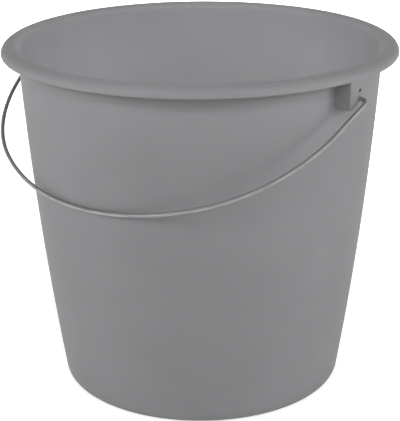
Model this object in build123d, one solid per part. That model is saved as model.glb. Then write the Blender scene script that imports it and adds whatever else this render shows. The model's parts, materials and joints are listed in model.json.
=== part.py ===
from build123d import *
from math import atan, atan2, cos, degrees, hypot, radians, sin, sqrt, tan
import os

os.makedirs("parts", exist_ok=True)

# A ten litre household bucket: one thin polypropylene moulding with a rolled lip and two hollow ears,
# and a loose bail of steel wire that hooks into the ears. Millimetres, +Z up.
# The origin is under the middle of the base. The ears lie on the X axis and the bail hangs on the -Y side.

# Bucket
RIM_DIAMETER = 295.0  # across the lip's outer edge
HEIGHT = 266.0  # ground to the lip's crown
BASE_DIAMETER = 211.5  # wall carried on down to the ground, before the corner is rounded
WALL = 2.0  # wall and lip thickness
BELLY_RADIUS = 2700.0  # the wall bows slightly outwards, in one arc from the lip to the ground
FOOT_CORNER = 11.0  # outside radius between wall and base

# Base
FLOOR = 2.4  # base thickness
FLOOR_RISE = 4.0  # how far the middle of the base stands clear of the ground
FOOT_RING = 7.5  # width of the flat ring that the bucket stands on
RECESS_SLOPE = 9.0  # width of the slope from that ring up to the raised middle
GATE_DIAMETER = 12.0  # shallow dimple under the middle, where the plastic was injected
GATE_DEPTH = 0.6

# Rolled lip
LIP_WIDTH = 14.2  # wall's inside to the lip's outer edge
LIP_CROWN_INSET = 8.5  # lip's outer edge to its highest line
LIP_DROP = 6.8  # from that line down to where the skirt hangs straight
LIP_SHOULDER = 5.7  # radius above the skirt
LIP_DEPTH = 7.6  # lip's crown to the skirt's lower edge

# Ears
EAR_WIDTH = 20.0
EAR_WALL = 1.8
EAR_LENGTH = 28.0  # lip's crown to the ear's open lower end
EAR_INSET = 0.05  # ear's face behind the lip's outer edge
EAR_CORNER = 1.0  # radius on the ear's upright outer edges
PIVOT_DROP = 21.0  # lip's crown to the bail's pivot
UPPER_HOLE_DIAMETER = 2.8  # small hole above the pivot hole
UPPER_HOLE_RISE = 6.0  # pivot to the small hole

# Wire bail
WIRE_DIAMETER = 3.0
PIVOT_CLEARANCE = 0.3  # around the wire in the pivot hole
RIM_CLEARANCE = 1.9  # between wire and lip as the bail swings over
REST_CLEARANCE = 0.4  # between wire and wall where the bail lies against the bucket
LEG_STANDOFF = 10.2  # ear's face to the leg, when the bail is centred
LEG_LENGTH = 33.0  # straight stretch of each leg
LEG_LEAN = 5.5  # degrees that each leg leans inwards
BOW_RADIUS = 187.0  # middle of the bail
LEG_BEND = 4.5  # radius where a leg turns into its pin
HOOK_BEND = 3.0  # radius where a pin turns into its hook
HOOK_SWING = 1.2  # clearance of a hook from the ear's sides as it turns
HOOK_CLEARANCE = 1.0  # what is left of the bail's side play in the hanging position


def meeting_point(a, radius_a, b, radius_b):
    """The point at those two distances from a and b that lies on the left of the way from a to b."""
    way = b - a
    distance = way.length
    along = (radius_a**2 - radius_b**2 + distance**2) / (2 * distance)
    across = sqrt(radius_a**2 - along**2)
    return a + (way * along + Vector(-way.Y, way.X) * across) / distance


rim_radius = RIM_DIAMETER / 2
base_radius = BASE_DIAMETER / 2
wire_radius = WIRE_DIAMETER / 2

# Seen in section, the lip is a round inner half, a flatter crown and a round shoulder, all tangent.
roll_radius = LIP_WIDTH - LIP_CROWN_INSET
roll_centre = Vector(rim_radius - LIP_CROWN_INSET, HEIGHT - roll_radius)
shoulder_run = LIP_CROWN_INSET - LIP_SHOULDER
shoulder_centre = Vector(rim_radius - LIP_SHOULDER, HEIGHT - LIP_DROP)
crown_radius = (shoulder_run**2 + LIP_DROP**2 - LIP_SHOULDER**2) / (2 * (LIP_DROP - LIP_SHOULDER))
crown_centre = Vector(roll_centre.X, HEIGHT - crown_radius)
shoulder_angle = degrees(atan2(crown_radius - LIP_DROP, shoulder_run))

# The wall's outer face ends on the ground at the base's edge and is tangent to the lip's inner half.
under_roll = roll_radius - WALL
belly_centre = meeting_point(
    Vector(base_radius, 0), BELLY_RADIUS, roll_centre, BELLY_RADIUS + under_roll
)
inward = (belly_centre - roll_centre).normalized()
lean_at_lip = degrees(atan2(inward.Y, -inward.X))


def wall_radius(z, inset=0.0):
    """Radius at height z of the wall's outer face, or of a face that lies inset inside it."""
    return belly_centre.X + sqrt((BELLY_RADIUS - inset) ** 2 - (z - belly_centre.Y) ** 2)


def wall_arc(bottom, inset):
    """The wall's arc from a height up to the lip, drawn as radius and height."""
    top = (roll_centre + inward * (under_roll + inset)).Y
    heights = (bottom, (bottom + top) / 2, top)
    return ThreePointArc(*[(wall_radius(z, inset), z) for z in heights])


def roll_arc(inset):
    """The lip's inner half from the wall to the crown, inset from its upper face."""
    return CenterArc(roll_centre, roll_radius - inset, 180 - lean_at_lip, lean_at_lip - 90)


def crown_arc(inset):
    """The lip's crown from its highest line out to the shoulder, inset from its upper face."""
    return CenterArc(crown_centre, crown_radius - inset, 90, shoulder_angle - 90)


def shoulder_arc(inset):
    """The lip's shoulder from the crown down to the skirt, inset from its upper face."""
    return CenterArc(shoulder_centre, LIP_SHOULDER - inset, shoulder_angle, -shoulder_angle)


def bucket_shell():
    """The turned moulding: raised base, foot ring, bellied wall and rolled lip."""
    ring_outside = wall_radius(FOOT_CORNER, FOOT_CORNER)
    recess_radius = ring_outside - FOOT_RING
    raised_radius = recess_radius - RECESS_SLOPE
    gate_radius = GATE_DIAMETER / 2
    gate_top = FLOOR_RISE + GATE_DEPTH
    floor_top = FLOOR_RISE + FLOOR
    floor_shift = FLOOR * tan(atan(FLOOR_RISE / RECESS_SLOPE) / 2)
    inner_corner = (wall_radius(FLOOR, WALL), FLOOR)
    skirt_bottom = HEIGHT - LIP_DEPTH
    under_base = [
        (0, gate_top),
        (gate_radius, gate_top),
        (gate_radius, FLOOR_RISE),
        (raised_radius, FLOOR_RISE),
        (recess_radius, 0),
        (base_radius, 0),
    ]
    # Below, the lip is plain flats, a wall's thickness under its rounded upper face.
    under_lip = [
        roll_arc(WALL) @ 0,
        roll_arc(WALL) @ 0.5,
        roll_arc(WALL) @ 1,
        crown_arc(WALL) @ 1,
        shoulder_arc(WALL) @ 1,
        (rim_radius - WALL, skirt_bottom),
        (rim_radius, skirt_bottom),
        shoulder_arc(0) @ 1,
    ]
    on_floor = [
        inner_corner,
        (recess_radius + floor_shift, FLOOR),
        (raised_radius + floor_shift, floor_top),
        (0, floor_top),
        (0, gate_top),
    ]
    outline = [
        Polyline(*under_base),
        wall_arc(0, 0),
        Polyline(*under_lip),
        shoulder_arc(0),
        crown_arc(0),
        roll_arc(0),
        wall_arc(FLOOR, WALL),
        Polyline(*on_floor),
    ]
    profile = make_face(outline)
    for point, radius in (((base_radius, 0), FOOT_CORNER), (inner_corner, FOOT_CORNER - WALL)):
        corner = profile.vertices().sort_by_distance((*point, 0))[0]
        profile = fillet(corner, radius)
    return revolve(Plane.XZ * profile, Axis.Z)


ear_bottom = HEIGHT - EAR_LENGTH
ear_face = rim_radius - EAR_INSET
ear_inside = ear_face - EAR_WALL
pivot_height = HEIGHT - PIVOT_DROP


def ear():
    """The ear on +X: a face under the lip's edge and two cheeks back to the wall, open below."""
    middle = WALL / 2
    block = Circle(ear_face) & Pos(rim_radius, 0) * Rectangle(4 * LIP_WIDTH, EAR_WIDTH)
    block = fillet(block.vertices().sort_by(Axis.X)[-2:], EAR_CORNER)
    hollow_width = EAR_WIDTH - 2 * EAR_WALL
    hollow = Circle(ear_inside) & Pos(rim_radius, 0) * Rectangle(4 * LIP_WIDTH, hollow_width)
    box = extrude(Pos(0, 0, ear_bottom) * (block - hollow), EAR_LENGTH)

    # Seen from the side it ends inside the thickness of the wall and the lip, so that they run together.
    under_lip = make_face(
        [
            wall_arc(ear_bottom, middle),
            roll_arc(middle),
            crown_arc(middle),
            shoulder_arc(middle),
            Polyline(
                shoulder_arc(middle) @ 1,
                (rim_radius, shoulder_centre.Y),
                (rim_radius, ear_bottom),
                (wall_radius(ear_bottom, middle), ear_bottom),
            ),
        ]
    )
    return box & extrude(Plane.XZ * under_lip, EAR_WIDTH, both=True)


def ear_holes():
    """The pivot hole and the small hole above it, both bored through the ear's face from outside."""
    outside = Plane((ear_face + EAR_WALL, 0, pivot_height), x_dir=(0, -1, 0), z_dir=(-1, 0, 0))
    pivot_hole = Circle(wire_radius + PIVOT_CLEARANCE)
    upper_hole = Pos(0, UPPER_HOLE_RISE) * Circle(UPPER_HOLE_DIAMETER / 2)
    return extrude(outside * (pivot_hole + upper_hole), 3 * EAR_WALL)


def bucket():
    """The moulding with an ear at each end of the X axis."""
    other_side = Rot(0, 0, 180)
    return bucket_shell() + ear() + other_side * ear() - ear_holes() - other_side * ear_holes()


def bail_reach():
    """Pivot axis to the wire's middle at the far end of the bail, so that it clears the lip."""
    lip_reach = hypot(shoulder_centre.X, shoulder_centre.Y - pivot_height) + LIP_SHOULDER
    return lip_reach + RIM_CLEARANCE + wire_radius


def rest_angle():
    """Radians below level at which the far end of the bail meets the wall."""
    pivot = Vector(0, pivot_height)
    from_centre = BELLY_RADIUS + REST_CLEARANCE + wire_radius
    far_end = meeting_point(pivot, bail_reach(), belly_centre, from_centre)
    return atan2(pivot.Y - far_end.Y, far_end.X)


def wire_bail():
    """One wire: a bowed middle, two legs, two pins through the ears and a short hook on each pin."""
    half_span = rim_radius + LEG_STANDOFF
    leg_lean = radians(LEG_LEAN)
    leg_way = Vector(-sin(leg_lean), cos(leg_lean))
    leg_inward = Vector(-cos(leg_lean), -sin(leg_lean))
    corner = Vector(half_span, 0)
    leg_end = corner + leg_way * LEG_LENGTH

    # The side arc is tangent to the leg and to the bowed middle.
    bow_centre = Vector(0, bail_reach() - BOW_RADIUS)
    offset = leg_end - bow_centre
    side_radius = (BOW_RADIUS**2 - offset.dot(offset)) / (2 * (offset.dot(leg_inward) + BOW_RADIUS))
    side_centre = leg_end + leg_inward * side_radius
    joint = side_centre - bow_centre
    joint_angle = degrees(atan2(joint.Y, joint.X))

    # Each hook stands in the middle of its ear when the bail is centred.
    wall_at_pivot = wall_radius(pivot_height)
    hook_place = (wall_at_pivot + ear_inside) / 2
    hook_end = sqrt((EAR_WIDTH / 2 - EAR_WALL - HOOK_SWING) ** 2 - wire_radius**2)
    bend_length = LEG_BEND * tan(radians(90 + LEG_LEAN) / 2)
    pin_end = Vector(half_span - bend_length, 0)
    leg_start = corner + leg_way * bend_length
    half = [
        Line((hook_place, -hook_end), (hook_place, -HOOK_BEND)),
        CenterArc((hook_place + HOOK_BEND, -HOOK_BEND), HOOK_BEND, 180, -90),
        Line((hook_place + HOOK_BEND, 0), pin_end),
        CenterArc((pin_end.X, LEG_BEND), LEG_BEND, -90, 90 + LEG_LEAN),
        Line(leg_start, leg_end),
        CenterArc(side_centre, side_radius, LEG_LEAN, joint_angle - LEG_LEAN),
        CenterArc(bow_centre, BOW_RADIUS, joint_angle, 90 - joint_angle),
    ]
    other_half = [mirror(piece, Plane.YZ).edge() for piece in half]
    path = Wire(half + other_half)
    section = Plane(path @ 0, z_dir=path % 0) * Circle(wire_radius)
    wire = sweep(section, path)

    # The loose bail has slid along its pins towards -X, until its +X hook is close to the wall.
    side_slide = (ear_inside - wall_at_pivot - WIRE_DIAMETER) / 2 - HOOK_CLEARANCE
    below = rest_angle()
    hanging = Plane((-side_slide, 0, pivot_height), x_dir=(1, 0, 0), z_dir=(0, sin(below), -cos(below)))
    return hanging * wire


export_step(bucket(), "parts/bucket_body.step")
export_step(wire_bail(), "parts/wire_bail.step")
print("bail hangs", round(degrees(rest_angle()), 2), "degrees below level, pivot at", pivot_height)
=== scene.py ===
import json
from math import atan2, ceil, cos, pi, radians, sin, sqrt, tan

import bpy
from mathutils import Matrix, Vector


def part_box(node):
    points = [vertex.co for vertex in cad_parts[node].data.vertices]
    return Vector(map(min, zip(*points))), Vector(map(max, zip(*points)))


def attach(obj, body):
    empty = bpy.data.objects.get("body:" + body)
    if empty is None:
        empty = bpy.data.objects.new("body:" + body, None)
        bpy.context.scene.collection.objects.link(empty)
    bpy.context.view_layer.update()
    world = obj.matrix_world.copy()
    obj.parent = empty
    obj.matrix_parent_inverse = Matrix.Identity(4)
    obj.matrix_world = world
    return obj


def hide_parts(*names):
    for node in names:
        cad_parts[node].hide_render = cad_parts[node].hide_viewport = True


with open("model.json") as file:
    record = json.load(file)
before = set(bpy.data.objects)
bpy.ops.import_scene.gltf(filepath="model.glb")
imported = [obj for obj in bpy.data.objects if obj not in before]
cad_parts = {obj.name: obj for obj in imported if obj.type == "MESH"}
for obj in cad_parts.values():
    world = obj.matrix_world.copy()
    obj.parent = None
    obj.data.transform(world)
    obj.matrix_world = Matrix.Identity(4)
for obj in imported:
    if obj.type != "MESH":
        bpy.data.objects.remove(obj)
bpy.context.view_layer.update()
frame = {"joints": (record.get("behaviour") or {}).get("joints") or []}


# Bucket: one injection moulding in mid grey polypropylene. The mould turns out base, foot ring, bellied wall
# and rolled lip in one skin about 2 mm thick, with a hollow ear for the wire under the lip on each side.

mm = 0.001
body_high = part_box("bucket_body")[1]
RIM_RADIUS = body_high.x
HEIGHT = body_high.z
BASE_RADIUS = 105.75 * mm  # wall carried on down to the ground
WALL = 2.0 * mm
BELLY_RADIUS = 2700 * mm  # the wall's slight outward bow
FOOT_CORNER = 11.0 * mm
FLOOR = 2.4 * mm  # thickness of the base
FLOOR_RISE = 4.0 * mm  # clearance under its raised middle
FOOT_RING = 7.5 * mm  # flat ring that stands on the ground
RECESS_SLOPE = 9.0 * mm
RECESS_BLEND = 4.0 * mm
GATE_RADIUS = 6.0 * mm  # dimple left where the plastic was injected
GATE_DEPTH = 0.6 * mm
GATE_BLEND = 0.25 * mm
LIP_WIDTH = 14.2 * mm  # wall's inside to the lip's outer edge
LIP_CROWN_INSET = 8.5 * mm  # outer edge to the highest line
LIP_DROP = 6.8 * mm  # highest line to where the skirt hangs straight
LIP_SHOULDER = 5.7 * mm
LIP_DEPTH = 8.1 * mm  # highest line to the skirt's lower edge
COLUMNS = 320  # facets round the bucket
WALL_ROWS = 40  # facets up the wall
ARC_STEP = radians(8)  # turn from one facet to the next on a rounding


def arc(centre, radius, start, end, steps=None):
    """Points along an arc in radians, both ends included, in so many steps or else by ARC_STEP."""
    steps = steps or max(2, ceil(abs(end - start) / ARC_STEP))
    angles = [start + (end - start) * i / steps for i in range(steps + 1)]
    return [centre + Vector((cos(angle), sin(angle))) * radius for angle in angles]


def eased(before, corner, after, radius):
    """Points along the rounding of a corner between two straight runs."""
    back = (before - corner).normalized()
    onward = (after - corner).normalized()
    half = back.angle(onward) / 2
    centre = corner + (back + onward).normalized() * (radius / sin(half))
    first = corner + back * (radius / tan(half)) - centre
    last = corner + onward * (radius / tan(half)) - centre
    start = atan2(first.y, first.x)
    turn = (atan2(last.y, last.x) - start + pi) % (2 * pi) - pi
    return arc(centre, radius, start, start + turn)


def meeting_point(a, radius_a, b, radius_b):
    """The point at those distances from a and b that lies on the left of the way from a to b."""
    way = b - a
    along = (radius_a**2 - radius_b**2 + way.length_squared) / (2 * way.length)
    aside = sqrt(radius_a**2 - along**2)
    return a + (way * along + Vector((-way.y, way.x)) * aside) / way.length


# The section, as radius and height: lip first, because the wall is tangent to it.
roll_radius = LIP_WIDTH - LIP_CROWN_INSET
roll_centre = Vector((RIM_RADIUS - LIP_CROWN_INSET, HEIGHT - roll_radius))
shoulder_run = LIP_CROWN_INSET - LIP_SHOULDER
shoulder_centre = Vector((RIM_RADIUS - LIP_SHOULDER, HEIGHT - LIP_DROP))
crown_radius = (shoulder_run**2 + LIP_DROP**2 - LIP_SHOULDER**2) / (2 * (LIP_DROP - LIP_SHOULDER))
crown_centre = Vector((roll_centre.x, HEIGHT - crown_radius))
shoulder_angle = atan2(crown_radius - LIP_DROP, shoulder_run)
under_roll = roll_radius - WALL
belly_centre = meeting_point(
    Vector((BASE_RADIUS, 0)), BELLY_RADIUS, roll_centre, BELLY_RADIUS + under_roll
)
to_lip = roll_centre - belly_centre
lip_angle = atan2(to_lip.y, to_lip.x)


def wall_radius(z, inset):
    """Radius of the wall at a height, so far inside its outer face."""
    return belly_centre.x + sqrt((BELLY_RADIUS - inset) ** 2 - (z - belly_centre.y) ** 2)


def corner_centre(z):
    """Centre of the rounding between wall and base, at that height."""
    return Vector((wall_radius(z, FOOT_CORNER), z))


outer_corner = corner_centre(FOOT_CORNER)
inner_corner = corner_centre(FLOOR + FOOT_CORNER - WALL)
outer_angle = atan2(outer_corner.y - belly_centre.y, outer_corner.x - belly_centre.x)
inner_angle = atan2(inner_corner.y - belly_centre.y, inner_corner.x - belly_centre.x)
recess_radius = outer_corner.x - FOOT_RING
raised_radius = recess_radius - RECESS_SLOPE
floor_shift = FLOOR * tan(atan2(FLOOR_RISE, RECESS_SLOPE) / 2)
edge_centre = Vector((RIM_RADIUS - WALL / 2, HEIGHT - LIP_DEPTH + WALL / 2))

gate_middle = Vector((0, FLOOR_RISE + GATE_DEPTH))
gate_top = Vector((GATE_RADIUS, FLOOR_RISE + GATE_DEPTH))
gate_edge = Vector((GATE_RADIUS, FLOOR_RISE))
raised_edge = Vector((raised_radius, FLOOR_RISE))
recess_edge = Vector((recess_radius, 0))
ring_edge = Vector((outer_corner.x, 0))
floor_edge = Vector((inner_corner.x, FLOOR))
floor_foot = Vector((recess_radius + floor_shift, FLOOR))
floor_head = Vector((raised_radius + floor_shift, FLOOR_RISE + FLOOR))
floor_middle = Vector((0, FLOOR_RISE + FLOOR))

section = [
    gate_middle,
    *eased(gate_middle, gate_top, gate_edge, GATE_BLEND),
    *eased(gate_top, gate_edge, raised_edge, GATE_BLEND),
    *eased(gate_edge, raised_edge, recess_edge, RECESS_BLEND),
    *eased(raised_edge, recess_edge, ring_edge, RECESS_BLEND),
    *arc(outer_corner, FOOT_CORNER, -pi / 2, outer_angle),
    *arc(belly_centre, BELLY_RADIUS, outer_angle, lip_angle, WALL_ROWS)[1:],
    *arc(roll_centre, under_roll, pi + lip_angle, pi / 2)[1:],
    *arc(crown_centre, crown_radius - WALL, pi / 2, shoulder_angle)[1:],
    *arc(shoulder_centre, LIP_SHOULDER - WALL, shoulder_angle, 0)[1:],
    *arc(edge_centre, WALL / 2, pi, 2 * pi)[1:-1],
    *arc(shoulder_centre, LIP_SHOULDER, 0, shoulder_angle),
    *arc(crown_centre, crown_radius, shoulder_angle, pi / 2)[1:],
    *arc(roll_centre, roll_radius, pi / 2, pi + lip_angle)[1:],
    *arc(belly_centre, BELLY_RADIUS - WALL, lip_angle, inner_angle, WALL_ROWS)[1:],
    *arc(inner_corner, FOOT_CORNER - WALL, inner_angle, -pi / 2)[1:],
    *eased(floor_edge, floor_foot, floor_head, RECESS_BLEND),
    *eased(floor_foot, floor_head, floor_middle, RECESS_BLEND),
    floor_middle,
]


def linear(colour):
    """An sRGB hex colour as linear red, green, blue and alpha."""
    shares = [int(colour[i : i + 2], 16) / 255 for i in (1, 3, 5)]
    return (*[c / 12.92 if c <= 0.04045 else ((c + 0.055) / 1.055) ** 2.4 for c in shares], 1)


def add_node(tree, kind, inputs=None, **settings):
    """Adds a node with its settings, and gives each named input a value or a link."""
    node = tree.nodes.new(kind)
    for name, value in settings.items():
        setattr(node, name, value)
    for name, value in (inputs or {}).items():
        if isinstance(value, bpy.types.NodeSocket):
            tree.links.new(value, node.inputs[name])
        else:
            node.inputs[name].default_value = value
    return node


def new_material(name):
    """An empty node material and its tree."""
    material = bpy.data.materials.new(name)
    material.use_nodes = True
    material.node_tree.nodes.clear()
    return material, material.node_tree


# Moulded polypropylene: an even mid grey with a dull sheen. The mould's fine spark-eroded grain takes the
# edge off reflections, and the plastic's flow leaves faint clouds in its tone.
GRAIN = 0.9 * mm  # really about 0.3 mm, drawn coarser to show
GRAIN_DEPTH = 0.05 * mm
HOLLOW_ROUGHNESS = 0.6
PEAK_ROUGHNESS = 0.72
CLOUDS = 45 * mm
NOISE_LOW = 0.3  # nearly all of a noise pattern lies between this and NOISE_HIGH
NOISE_HIGH = 0.7
polypropylene, tree = new_material("moulded_polypropylene")
place = add_node(tree, "ShaderNodeTexCoord").outputs["Object"]
clouds = add_node(
    tree, "ShaderNodeTexNoise", {"Vector": place, "Scale": 1 / CLOUDS, "Detail": 3.0, "Roughness": 0.55}
)
tone = add_node(tree, "ShaderNodeValToRGB", {"Fac": clouds.outputs["Fac"]})
tone.color_ramp.elements[0].position = NOISE_LOW
tone.color_ramp.elements[0].color = linear("#878789")
tone.color_ramp.elements[1].position = NOISE_HIGH
tone.color_ramp.elements[1].color = linear("#8B8B8D")
grain = add_node(
    tree, "ShaderNodeTexNoise", {"Vector": place, "Scale": 1 / GRAIN, "Detail": 2.0, "Roughness": 0.6}
)
sheen = add_node(
    tree,
    "ShaderNodeMapRange",
    {
        "Value": grain.outputs["Fac"],
        "From Min": NOISE_LOW,
        "From Max": NOISE_HIGH,
        "To Min": HOLLOW_ROUGHNESS,
        "To Max": PEAK_ROUGHNESS,
    },
)
relief = add_node(
    tree, "ShaderNodeBump", {"Height": grain.outputs["Fac"], "Strength": 0.12, "Distance": GRAIN_DEPTH}
)
plastic = add_node(
    tree,
    "ShaderNodeBsdfPrincipled",
    {
        "Base Color": tone.outputs["Color"],
        "Roughness": sheen.outputs["Result"],
        "Normal": relief.outputs["Normal"],
        "IOR": 1.49,
        "Specular IOR Level": 0.35,
    },
)
add_node(tree, "ShaderNodeOutputMaterial", {"Surface": plastic.outputs["BSDF"]})

# The section is carried round a circle at the rim's radius, so its points count outwards from there in x and
# downwards in y. The skin comes out facing in, and is flipped.
SEAM_GAP = 0.001 * mm  # closes the seam, and the poles on the axis
turning = bpy.data.node_groups.new("turned_moulding", "GeometryNodeTree")
turning.interface.new_socket("Section", in_out="INPUT", socket_type="NodeSocketGeometry")
turning.interface.new_socket("Moulding", in_out="OUTPUT", socket_type="NodeSocketGeometry")
turning_inputs = {
    name: turning.interface.new_socket(name, in_out="INPUT", socket_type=kind).identifier
    for name, kind in (
        ("Rim radius", "NodeSocketFloat"),
        ("Columns", "NodeSocketInt"),
        ("Plastic", "NodeSocketMaterial"),
    )
}
given = add_node(turning, "NodeGroupInput").outputs
outline = add_node(turning, "GeometryNodeMeshToCurve", {"Mesh": given["Section"]})
ring = add_node(
    turning,
    "GeometryNodeCurvePrimitiveCircle",
    {"Resolution": given["Columns"], "Radius": given["Rim radius"]},
)
skin = add_node(
    turning,
    "GeometryNodeCurveToMesh",
    {"Curve": ring.outputs["Curve"], "Profile Curve": outline.outputs["Curve"]},
)
outward = add_node(turning, "GeometryNodeFlipFaces", {"Mesh": skin.outputs["Mesh"]})
closed = add_node(
    turning, "GeometryNodeMergeByDistance", {"Geometry": outward.outputs["Mesh"], "Distance": SEAM_GAP}
)
real = add_node(turning, "GeometryNodeRealizeInstances", {"Geometry": closed.outputs["Geometry"]})
coloured = add_node(
    turning,
    "GeometryNodeSetMaterial",
    {"Geometry": real.outputs["Geometry"], "Material": given["Plastic"]},
)
add_node(turning, "NodeGroupOutput", {"Moulding": coloured.outputs["Geometry"]})


def new_object(name, points, edges=(), faces=()):
    """A mesh object at the origin."""
    mesh = bpy.data.meshes.new(name)
    mesh.from_pydata(points, edges, faces)
    made = bpy.data.objects.new(name, mesh)
    bpy.context.scene.collection.objects.link(made)
    return made


def made_plain(made):
    """Turns an object's modifiers into its own mesh."""
    evaluated = made.evaluated_get(bpy.context.evaluated_depsgraph_get())
    mesh = bpy.data.meshes.new_from_object(evaluated)
    made.modifiers.clear()
    made.data = mesh


bucket = new_object(
    "bucket_moulding",
    [(point.x - RIM_RADIUS, -point.y, 0) for point in section],
    [(i, i + 1) for i in range(len(section) - 1)],
)
turned = bucket.modifiers.new("turned", "NODES")
turned.node_group = turning
turned[turning_inputs["Rim radius"]] = RIM_RADIUS
turned[turning_inputs["Columns"]] = COLUMNS
turned[turning_inputs["Plastic"]] = polypropylene
made_plain(bucket)

# Each ear is a strip of the same plastic, bent in a U round the hook: wall, cheek, face, cheek, wall.
# It hangs from the lip, which it is moulded with, and is open below.
EAR_WIDTH = 20.0 * mm
EAR_WALL = 1.8 * mm
EAR_LENGTH = 28.0 * mm  # lip's crown to the ear's open lower end
FLUSH_INSET = 0.03 * mm  # keeps the ear's face just inside the lip's edge, too little to see
EAR_FACE = RIM_RADIUS - FLUSH_INSET
EAR_CORNER = 1.0 * mm
EAR_EDGE = 0.5 * mm  # rounding of the ear's lower edge
CHEEK_STEPS = 12
CORNER_STEPS = 5
EDGE_STEPS = 4
ear_bottom = HEIGHT - EAR_LENGTH
wall_at_lip = wall_radius(roll_centre.y, 0)


def lip_middle(radius):
    """Height halfway through the lip's thickness, so that an ear ends inside the lip."""
    inward = roll_centre.x - radius
    if inward > 0:
        return roll_centre.y + sqrt(max(0, (roll_radius - WALL / 2) ** 2 - inward**2))
    if -inward < (crown_radius - WALL / 2) * cos(shoulder_angle):
        return crown_centre.y + sqrt((crown_radius - WALL / 2) ** 2 - inward**2)
    beyond = radius - shoulder_centre.x
    return shoulder_centre.y + sqrt(max(0, (LIP_SHOULDER - WALL / 2) ** 2 - beyond**2))


def ear_line(half_width, face, corner):
    """Half of the U in plan: out of the wall along a cheek, round a corner, to the middle of the face."""
    turn_at = Vector((sqrt((face - corner) ** 2 - (half_width - corner) ** 2), half_width - corner))
    face_angle = atan2(turn_at.y, turn_at.x)
    start = sqrt((wall_at_lip - WALL / 2) ** 2 - half_width**2)
    run = turn_at.x - start
    return [
        *[Vector((start + run * i / CHEEK_STEPS, half_width)) for i in range(CHEEK_STEPS)],
        *arc(turn_at, corner, pi / 2, face_angle, CORNER_STEPS),
        *arc(Vector((0, 0)), face, face_angle, 0, CORNER_STEPS)[1:],
    ]


outer_line = ear_line(EAR_WIDTH / 2, EAR_FACE, EAR_CORNER)
inner_line = ear_line(EAR_WIDTH / 2 - EAR_WALL, EAR_FACE - EAR_WALL, EAR_CORNER / 2)
mirror = Vector((1, -1))
outer_line += [point * mirror for point in reversed(outer_line[:-1])]
inner_line += [point * mirror for point in reversed(inner_line[:-1])]

# The lower edge, from the outer face to the inner one, as shares of the strip's thickness and rises
# above the ear's end.
quarter = [pi / 2 * i / EDGE_STEPS for i in range(EDGE_STEPS + 1)]
lower_edge = [(EAR_EDGE * (1 - cos(a)) / EAR_WALL, EAR_EDGE * (1 - sin(a))) for a in quarter]
lower_edge += [(1 - share, rise) for share, rise in reversed(lower_edge)]


def leaning(point, z):
    """A point of the plan at a height: near the wall it follows the wall's lean."""
    follow = min(1, max(0, (EAR_FACE - point.x) / (EAR_FACE - wall_at_lip)))
    return (point.x + (wall_radius(z, 0) - wall_at_lip) * follow, point.y, z)


def ear_loop(outer, inner):
    """One section across the strip: from inside the lip, round the ear's lower edge and up again."""
    tops = [(point.x, point.y, lip_middle(point.length)) for point in (outer, inner)]
    edge = [leaning(outer.lerp(inner, share), ear_bottom + rise) for share, rise in lower_edge]
    return [tops[0], *edge, tops[1]]


loops = [ear_loop(outer, inner) for outer, inner in zip(outer_line, inner_line)]
loop_size = len(loops[0])
ear_points = [point for loop in loops for point in loop]
ear_faces = [
    (
        i * loop_size + j,
        (i + 1) * loop_size + j,
        (i + 1) * loop_size + (j + 1) % loop_size,
        i * loop_size + (j + 1) % loop_size,
    )
    for i in range(len(loops) - 1)
    for j in range(loop_size)
]
ear_faces.append(tuple(range(loop_size)))
ear_faces.append(tuple(reversed(range(len(ear_points) - loop_size, len(ear_points)))))
half_turn = [(-x, -y, z) for x, y, z in ear_points]
ears = new_object(
    "ears",
    ear_points + half_turn,
    faces=ear_faces + [tuple(i + len(ear_points) for i in face) for face in ear_faces],
)
ears.data.materials.append(polypropylene)

# Two holes go through each ear's face: the wire's own, and a small one above it.
WIRE_RADIUS = 1.5 * mm
PIVOT_CLEARANCE = 0.3 * mm
UPPER_HOLE_RADIUS = 1.4 * mm
UPPER_HOLE_RISE = 6.0 * mm
HOLE_SIDES = 48
pivot = Vector(frame["joints"][0]["pos_m"])
hole_points = []
hole_faces = []
for side in (1, -1):
    for z, radius in (
        (pivot.z, WIRE_RADIUS + PIVOT_CLEARANCE),
        (pivot.z + UPPER_HOLE_RISE, UPPER_HOLE_RADIUS),
    ):
        first = len(hole_points)
        for x in (EAR_FACE - 2 * EAR_WALL, EAR_FACE + EAR_WALL):
            for i in range(HOLE_SIDES):
                angle = 2 * pi * i / HOLE_SIDES
                hole_points.append((side * x, side * radius * cos(angle), z + radius * sin(angle)))
        hole_faces += [
            (
                first + i,
                first + (i + 1) % HOLE_SIDES,
                first + HOLE_SIDES + (i + 1) % HOLE_SIDES,
                first + HOLE_SIDES + i,
            )
            for i in range(HOLE_SIDES)
        ]
        hole_faces.append(tuple(reversed(range(first, first + HOLE_SIDES))))
        hole_faces.append(tuple(range(first + HOLE_SIDES, first + 2 * HOLE_SIDES)))
holes = new_object("holes", hole_points, faces=hole_faces)
holes.data.materials.append(polypropylene)

# The ears join the moulding and the holes are cut. Slivers that this leaves are welded, and faces of five
# corners and more are divided.
WELD_GAP = 0.01 * mm
SHARP_ANGLE = radians(35)  # an edge that turns by more stays crisp
for name, other, operation in (("ears", ears, "UNION"), ("holes", holes, "DIFFERENCE")):
    cut = bucket.modifiers.new(name, "BOOLEAN")
    cut.object = other
    cut.operation = operation
    cut.solver = "MANIFOLD"
weld = bucket.modifiers.new("weld", "WELD")
weld.merge_threshold = WELD_GAP
divided = bucket.modifiers.new("divided", "TRIANGULATE")
divided.min_vertices = 5
made_plain(bucket)
bpy.data.objects.remove(ears)
bpy.data.objects.remove(holes)
bucket.data.shade_smooth()
bucket.data.set_sharp_from_angle(angle=SHARP_ANGLE)
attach(bucket, "bucket")
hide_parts("bucket_body")


# Wire bail: one length of galvanised steel wire, 3 mm thick, bent cold into a bow with two legs. Each end
# turns in through the hole in an ear and finishes in a short hook, so the bail swings and slides a little.

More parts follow.
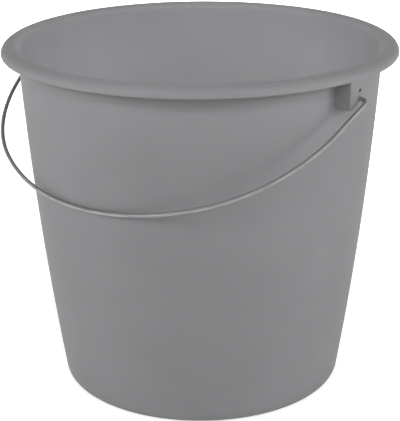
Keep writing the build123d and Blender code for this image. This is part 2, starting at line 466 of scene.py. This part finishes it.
LEG_STANDOFF = 10.2 * mm  # ear's face to the leg
LEG_LENGTH = 33.0 * mm
LEG_LEAN = radians(5.5)
LEG_BEND = 4.5 * mm
BOW_RADIUS = 187.0 * mm
HOOK_BEND = 3.0 * mm
HOOK_SWING = 1.2 * mm  # room for the hook to turn between the ear's cheeks
SIDE_STEPS = 60
BOW_STEPS = 40
WIRE_SIDES = 20

wire_low, wire_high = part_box("wire_bail")
far_end = Vector((pivot.y - wire_low.y - WIRE_RADIUS, pivot.z - wire_low.z - WIRE_RADIUS))
reach = far_end.length
slide = (wire_low.x + wire_high.x) / 2  # the bail hangs a little to one side in its ears

# The path is drawn flat: x along the pivot line, y from it towards the far end of the bail.
half_span = RIM_RADIUS + LEG_STANDOFF
leg_way = Vector((-sin(LEG_LEAN), cos(LEG_LEAN)))
leg_inward = Vector((-cos(LEG_LEAN), -sin(LEG_LEAN)))
leg_end = Vector((half_span, 0)) + leg_way * LEG_LENGTH
bow_centre = Vector((0, reach - BOW_RADIUS))
offset = leg_end - bow_centre
side_radius = (BOW_RADIUS**2 - offset.length_squared) / (2 * (offset.dot(leg_inward) + BOW_RADIUS))
side_centre = leg_end + leg_inward * side_radius
joint = side_centre - bow_centre
joint_angle = atan2(joint.y, joint.x)
bend_length = LEG_BEND * tan((pi / 2 + LEG_LEAN) / 2)
hook_x = (wall_radius(pivot.z, 0) + RIM_RADIUS - EAR_WALL) / 2
hook_end = sqrt((EAR_WIDTH / 2 - EAR_WALL - HOOK_SWING) ** 2 - WIRE_RADIUS**2)
half_path = [
    Vector((hook_x, -hook_end)),
    *arc(Vector((hook_x + HOOK_BEND, -HOOK_BEND)), HOOK_BEND, pi, pi / 2),
    *arc(Vector((half_span - bend_length, LEG_BEND)), LEG_BEND, -pi / 2, LEG_LEAN),
    *arc(side_centre, side_radius, LEG_LEAN, joint_angle, SIDE_STEPS),
    *arc(bow_centre, BOW_RADIUS, joint_angle, pi / 2, BOW_STEPS)[1:],
]
path = half_path + [Vector((-point.x, point.y)) for point in reversed(half_path[:-1])]
down_the_bail = Vector((0, -far_end.x, -far_end.y)).normalized()

# Galvanised wire: a zinc skin on drawn steel. Drawing leaves fine lines along the wire. The zinc has dulled
# in patches to a grey bloom that mirrors little, so it is not wholly metallic.
DULL_PATCH = 14 * mm
DRAW_LINES = 12  # round the wire: really more and finer, drawn coarser to show
DULL_ROUGHNESS = 0.7
BRIGHT_ROUGHNESS = 0.58
zinc, tree = new_material("galvanised_steel_wire")
along = add_node(tree, "ShaderNodeAttribute", attribute_name="along").outputs["Fac"]
around = add_node(tree, "ShaderNodeAttribute", attribute_name="around").outputs["Fac"]
lines_place = add_node(tree, "ShaderNodeCombineXYZ", {"X": along, "Y": around})
stretched = add_node(
    tree,
    "ShaderNodeMapping",
    {"Vector": lines_place.outputs["Vector"], "Scale": (1 / DULL_PATCH, DRAW_LINES, 1)},
)
lines = add_node(
    tree, "ShaderNodeTexNoise", {"Vector": stretched.outputs["Vector"], "Scale": 1.0, "Detail": 3.0}
)
skin_tone = add_node(tree, "ShaderNodeValToRGB", {"Fac": lines.outputs["Fac"]})
skin_tone.color_ramp.elements[0].position = NOISE_LOW
skin_tone.color_ramp.elements[0].color = linear("#8E8E90")
skin_tone.color_ramp.elements[1].position = NOISE_HIGH
skin_tone.color_ramp.elements[1].color = linear("#ACACAE")
polish = add_node(
    tree,
    "ShaderNodeMapRange",
    {
        "Value": lines.outputs["Fac"],
        "From Min": NOISE_LOW,
        "From Max": NOISE_HIGH,
        "To Min": DULL_ROUGHNESS,
        "To Max": BRIGHT_ROUGHNESS,
    },
)
steel = add_node(
    tree,
    "ShaderNodeBsdfPrincipled",
    {
        "Base Color": skin_tone.outputs["Color"],
        "Metallic": 0.8,
        "Roughness": polish.outputs["Result"],
    },
)
add_node(tree, "ShaderNodeOutputMaterial", {"Surface": steel.outputs["BSDF"]})

# The wire follows its path, and keeps the distance along it and the share of the turn round it.
drawing = bpy.data.node_groups.new("drawn_wire", "GeometryNodeTree")
drawing.interface.new_socket("Path", in_out="INPUT", socket_type="NodeSocketGeometry")
drawing.interface.new_socket("Wire", in_out="OUTPUT", socket_type="NodeSocketGeometry")
drawing_inputs = {
    name: drawing.interface.new_socket(name, in_out="INPUT", socket_type=kind).identifier
    for name, kind in (
        ("Wire radius", "NodeSocketFloat"),
        ("Sides", "NodeSocketInt"),
        ("Metal", "NodeSocketMaterial"),
    )
}
given = add_node(drawing, "NodeGroupInput").outputs
parameter = add_node(drawing, "GeometryNodeSplineParameter").outputs
line = add_node(drawing, "GeometryNodeMeshToCurve", {"Mesh": given["Path"]})
measured_line = add_node(
    drawing,
    "GeometryNodeStoreNamedAttribute",
    {"Geometry": line.outputs["Curve"], "Name": "along", "Value": parameter["Length"]},
    data_type="FLOAT",
    domain="POINT",
)
circle = add_node(
    drawing,
    "GeometryNodeCurvePrimitiveCircle",
    {"Resolution": given["Sides"], "Radius": given["Wire radius"]},
)
measured_circle = add_node(
    drawing,
    "GeometryNodeStoreNamedAttribute",
    {"Geometry": circle.outputs["Curve"], "Name": "around", "Value": parameter["Factor"]},
    data_type="FLOAT",
    domain="POINT",
)
tube = add_node(
    drawing,
    "GeometryNodeCurveToMesh",
    {
        "Curve": measured_line.outputs["Geometry"],
        "Profile Curve": measured_circle.outputs["Geometry"],
        "Fill Caps": True,
    },
)
real = add_node(drawing, "GeometryNodeRealizeInstances", {"Geometry": tube.outputs["Mesh"]})
coloured = add_node(
    drawing, "GeometryNodeSetMaterial", {"Geometry": real.outputs["Geometry"], "Material": given["Metal"]}
)
add_node(drawing, "NodeGroupOutput", {"Wire": coloured.outputs["Geometry"]})

bail = new_object(
    "wire_bail_galvanised",
    [pivot + Vector((slide + point.x, 0, 0)) + down_the_bail * point.y for point in path],
    [(i, i + 1) for i in range(len(path) - 1)],
)
drawn = bail.modifiers.new("drawn", "NODES")
drawn.node_group = drawing
drawn[drawing_inputs["Wire radius"]] = WIRE_RADIUS
drawn[drawing_inputs["Sides"]] = WIRE_SIDES
drawn[drawing_inputs["Metal"]] = zinc
made_plain(bail)
bail.data.shade_smooth()
bail.data.set_sharp_from_angle(angle=SHARP_ANGLE)
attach(bail, "bail")
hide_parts("wire_bail")


# Floor: a sheet of matt white studio board, wide enough to run out of the picture. It keeps the bucket's
# shadow, and turns to full white further out.

FLOOR_SIZE = 8.0
FLOOR_GLOW = 0.62  # how white it looks by the bucket without the lamps, which add the rest but for the shadow
SHADOW_START = 0.25  # how far from the bucket's axis it starts to look whiter
SHADOW_END = 0.7  # where it is all white
floor = new_object(
    "floor",
    [(x * FLOOR_SIZE / 2, y * FLOOR_SIZE / 2, 0) for x, y in ((-1, -1), (1, -1), (1, 1), (-1, 1))],
    faces=[(0, 1, 2, 3)],
)


def seen_share(tree, share):
    """That share for rays from the camera and for mirrored or refracted ones, and nothing for the rest."""
    rays = add_node(tree, "ShaderNodeLightPath").outputs
    direct = add_node(
        tree, "ShaderNodeMath", {0: rays["Is Camera Ray"], 1: rays["Is Glossy Ray"]}, operation="MAXIMUM"
    )
    seen = add_node(
        tree,
        "ShaderNodeMath",
        {0: direct.outputs["Value"], 1: rays["Is Transmission Ray"]},
        operation="MAXIMUM",
    )
    shared = add_node(tree, "ShaderNodeMath", {0: seen.outputs["Value"], 1: share}, operation="MULTIPLY")
    return shared.outputs["Value"]


white_board, tree = new_material("white_studio_floor")
paint = add_node(tree, "ShaderNodeBsdfDiffuse", {"Color": linear("#F0F0F0")})
place = add_node(tree, "ShaderNodeTexCoord").outputs["Object"]
far = add_node(tree, "ShaderNodeVectorMath", {0: place}, operation="LENGTH").outputs["Value"]
whiter = add_node(
    tree,
    "ShaderNodeMapRange",
    {
        "Value": far,
        "From Min": SHADOW_START,
        "From Max": SHADOW_END,
        "To Min": FLOOR_GLOW,
        "To Max": 1.0,
    },
    interpolation_type="SMOOTHSTEP",
)
glow = add_node(
    tree,
    "ShaderNodeEmission",
    {"Color": linear("#FFFFFF"), "Strength": seen_share(tree, whiter.outputs["Result"])},
)
both = add_node(tree, "ShaderNodeAddShader", {0: paint.outputs["BSDF"], 1: glow.outputs["Emission"]})
add_node(tree, "ShaderNodeOutputMaterial", {"Surface": both.outputs["Shader"]})
floor.data.materials.append(white_board)


# Lamps: soft panels and two softboxes on stands round the bucket, and narrow spots for its inside. They are
# placed by the turn from the camera and the rise above the ground, in degrees.

TARGET = Vector((0, 0, 0.130))  # what panels and camera are aimed at
CAMERA_TURN = radians(42.06)
LAMP_DISTANCE = 1.8


def seen_from(turn, rise):
    """Direction from the object to something that stands so far round it and so high."""
    return Vector((sin(turn) * cos(rise), -cos(turn) * cos(rise), sin(rise)))


def hang(lamp, aim, turn, rise):
    """Hangs a lamp so far round from the camera and so high, and turns it to what it is aimed at."""
    stand = bpy.data.objects.new(lamp.name, lamp)
    way = seen_from(CAMERA_TURN + radians(turn), radians(rise))
    stand.location = aim + way * LAMP_DISTANCE
    stand.rotation_euler = (-way).to_track_quat("-Z", "Y").to_euler()
    bpy.context.scene.collection.objects.link(stand)
    return stand


# Two softboxes put a soft gleam on the lip. The panels only light, and are not mirrored.
for name, width, turn, rise, power in (
    ("left_softbox", 0.35, -71, 22, 6),
    ("right_softbox", 0.35, 71, 22, 6.5),
    ("left_panel", 1.2, -75, 15, 11.2),
    ("right_panel", 1.2, 60, 15, 9.8),
    ("front_panel", 1.2, 0, 30, 10.6),
    ("back_panel", 1.2, 180, 12, 20),
):
    lamp = bpy.data.lights.new(name, "AREA")
    lamp.shape = "SQUARE"
    lamp.size = width
    lamp.energy = power
    hang(lamp, TARGET, turn, rise).visible_glossy = name.endswith("softbox")

# Spots light the inside: each is aimed across the bucket's axis at the wall, and the top one at the base.
SPOT_WIDTH = 0.1
for name, cone, turn, rise, lit_radius, lit_height, power in (
    ("left_spot", 8, -85, 38, 0.115, 0.19, 54),
    ("right_spot", 8, 85, 38, 0.115, 0.19, 69),
    ("front_left_spot", 8, -28, 38, 0.115, 0.18, 72),
    ("front_right_spot", 8, 28, 38, 0.115, 0.18, 56),
    ("back_spot", 5, 180, 60, 0.115, 0.12, 60),
    ("deep_spot", 6, 0, 62, 0.1, 0.06, 90),
    ("top_spot", 8, 0, 85, 0, 0, 110),
):
    lamp = bpy.data.lights.new(name, "SPOT")
    lamp.spot_size = radians(cone)
    lamp.spot_blend = 1.0
    lamp.shadow_soft_size = SPOT_WIDTH / 2
    lamp.energy = power
    facing = seen_from(CAMERA_TURN + radians(turn + 180), 0)
    aim = facing * lit_radius + Vector((0, 0, lit_height))
    hang(lamp, aim, turn, rise).visible_glossy = False


# Room: a white backdrop that fades into a grey ceiling, for the camera and for reflections, and a weak even
# fill from all sides.

FILL = 0.04
BACKDROP_TOP = radians(0)
CEILING_START = radians(16)
world = bpy.data.worlds.new("studio")
bpy.context.scene.world = world
world.use_nodes = True
tree = world.node_tree
tree.nodes.clear()
outlook = add_node(tree, "ShaderNodeTexCoord").outputs["Generated"]
climb = add_node(tree, "ShaderNodeSeparateXYZ", {"Vector": outlook}).outputs["Z"]
upward = add_node(
    tree,
    "ShaderNodeMapRange",
    {"Value": climb, "From Min": sin(BACKDROP_TOP), "From Max": sin(CEILING_START)},
    interpolation_type="SMOOTHSTEP",
)
room = add_node(tree, "ShaderNodeValToRGB", {"Fac": upward.outputs["Result"]})
room.color_ramp.elements[0].color = linear("#FFFFFF")
room.color_ramp.elements[1].color = linear("#A0A0A0")
backdrop = add_node(tree, "ShaderNodeBackground", {"Color": room.outputs["Color"], "Strength": 1.0})
fill = add_node(tree, "ShaderNodeBackground", {"Color": linear("#FFFFFF"), "Strength": FILL})
shown = add_node(
    tree,
    "ShaderNodeMixShader",
    {"Fac": seen_share(tree, 1.0), 1: fill.outputs["Background"], 2: backdrop.outputs["Background"]},
)
add_node(tree, "ShaderNodeOutputWorld", {"Surface": shown.outputs["Shader"]})


# Camera: a long lens, above the bucket and some way off, that looks a little down into it. Its place,
# lens, roll and shift were fitted to the outlines of lip and base.

CAMERA_RISE = radians(19.196)
CAMERA_DISTANCE = 1.1599
CAMERA_ROLL = radians(-0.334)
FOCAL_LENGTH = 128.19  # this and the sensor in millimetres, as Blender's cameras take them
SENSOR_WIDTH = 36
SHIFT_X = -0.0022
SHIFT_Y = 0.0006
lens = bpy.data.cameras.new("camera")
lens.lens = FOCAL_LENGTH
lens.sensor_width = SENSOR_WIDTH
lens.shift_x = SHIFT_X
lens.shift_y = SHIFT_Y
camera = bpy.data.objects.new("camera", lens)
camera_way = seen_from(CAMERA_TURN, CAMERA_RISE)
camera.location = TARGET + camera_way * CAMERA_DISTANCE
camera.rotation_euler = (
    (-camera_way).to_track_quat("-Z", "Y").to_matrix() @ Matrix.Rotation(CAMERA_ROLL, 3, "Z")
).to_euler()
bpy.context.scene.collection.objects.link(camera)
bpy.context.scene.camera = camera
bpy.context.scene.view_settings.view_transform = "Standard"
